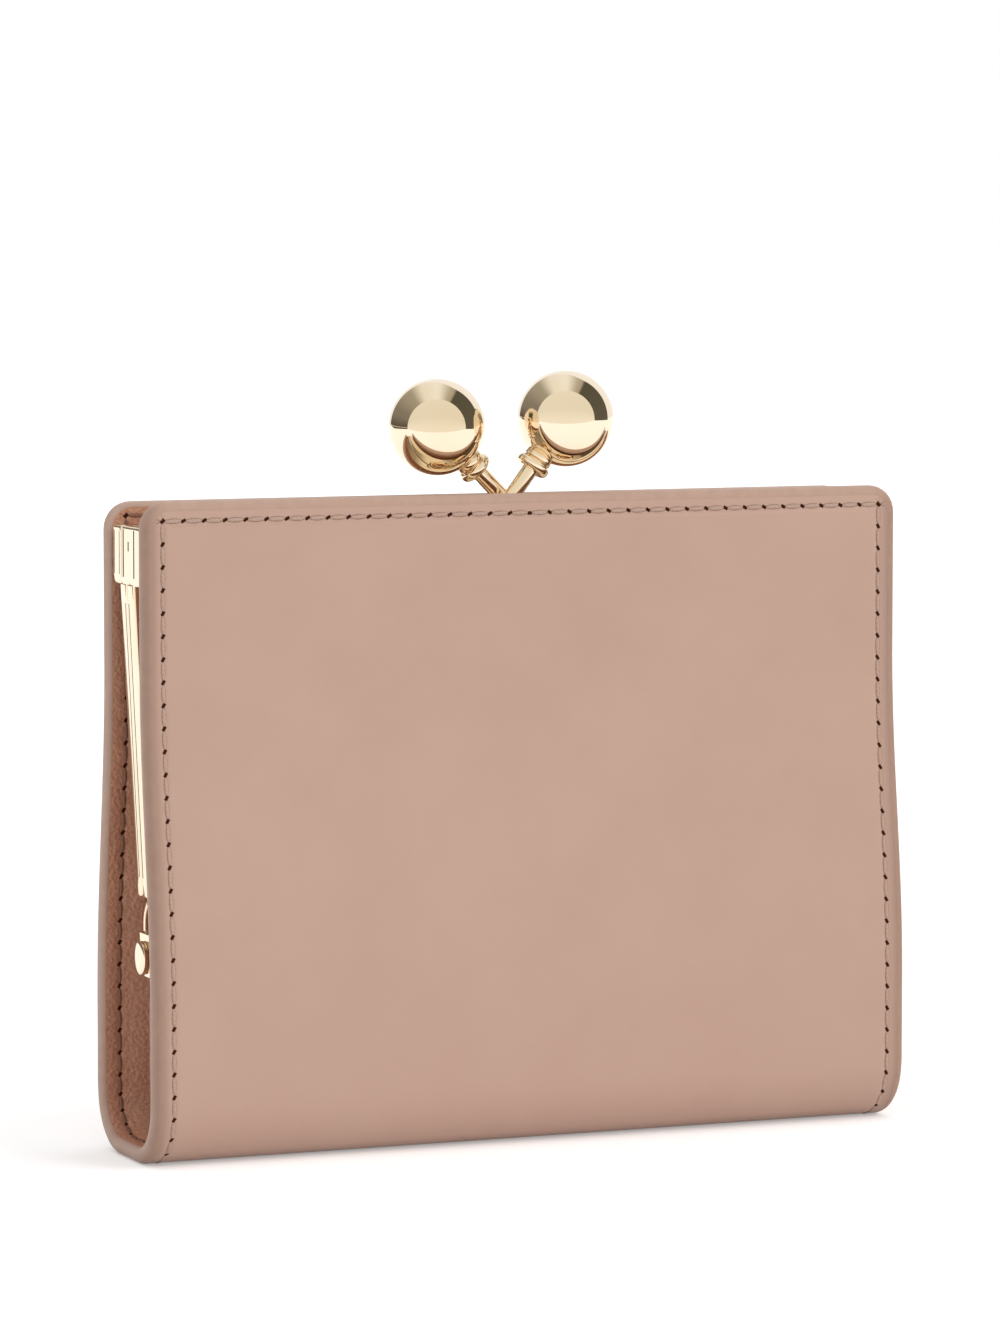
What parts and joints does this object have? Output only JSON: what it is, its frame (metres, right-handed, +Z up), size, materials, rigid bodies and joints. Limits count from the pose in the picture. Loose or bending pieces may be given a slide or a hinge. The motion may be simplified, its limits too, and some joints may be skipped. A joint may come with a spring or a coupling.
{
  "type": "kiss-lock wallet",
  "caption": "Compact padded leather wallet, a stitched book cover round a hinged metal clasp frame that locks with two crossing ball ends, with a gusseted bag and card slots inside",
  "frame": {"origin": "middle of the foot on the surface that the closed wallet stands on", "axes": "X along the width, right as seen from the front; the front faces -Y; +Z up"},
  "size_m": [0.12, 0.026, 0.1136],
  "materials": {
    "cover_leather": "fine smooth grain, soft sheen",
    "lining_leather": "natural grain, matt",
    "slot_leather": "thin smooth leather",
    "board": "pressed fibre board and padding",
    "gold_metal": "polished pale gold plating",
    "paper_cord": "twisted paper"
  },
  "bodies": {
    "spine": {"spine_leather": "cover_leather", "spine_padding": "board", "spine_lining": "lining_leather", "left_hinge_rivet": "gold_metal", "right_hinge_rivet": "gold_metal", "bag_bottom": "lining_leather", "left_gusset": "lining_leather", "right_gusset": "lining_leather"},
    "front_half": {"front_cover_leather": "cover_leather", "front_cover_board": "board", "front_cover_lining": "lining_leather", "front_frame": "gold_metal", "front_frame_cord": "paper_cord", "front_clasp_stem": "gold_metal", "front_clasp_collar": "gold_metal", "front_clasp_ball": "gold_metal", "front_bag_wall": "lining_leather", "front_card_slot_upper": "slot_leather", "front_card_slot_middle": "slot_leather", "front_card_slot_lower": "slot_leather"},
    "back_half": {"back_cover_leather": "cover_leather", "back_cover_board": "board", "back_cover_lining": "lining_leather", "back_frame": "gold_metal", "back_frame_cord": "paper_cord", "back_clasp_stem": "gold_metal", "back_clasp_collar": "gold_metal", "back_clasp_ball": "gold_metal", "back_bag_wall": "lining_leather", "back_card_slot_upper": "slot_leather", "back_card_slot_middle": "slot_leather", "back_card_slot_lower": "slot_leather"}
  },
  "joints": [
    {"name": "front_opening", "type": "hinge", "parent": "spine", "child": "front_half", "pos_m": [0, 0, 0.0293], "axis": [1, 0, 0], "range_deg": [0, 35], "deforming": ["spine_leather", "spine_padding", "spine_lining", "bag_bottom", "left_gusset", "right_gusset"]},
    {"name": "back_opening", "type": "hinge", "parent": "spine", "child": "back_half", "pos_m": [0, 0, 0.0293], "axis": [1, 0, 0], "range_deg": [-35, 0], "deforming": ["spine_leather", "spine_padding", "spine_lining", "bag_bottom", "left_gusset", "right_gusset"]}
  ],
  "couplings": [
    {"joint": "back_opening", "follows": "front_opening", "ratio": -1}
  ]
}
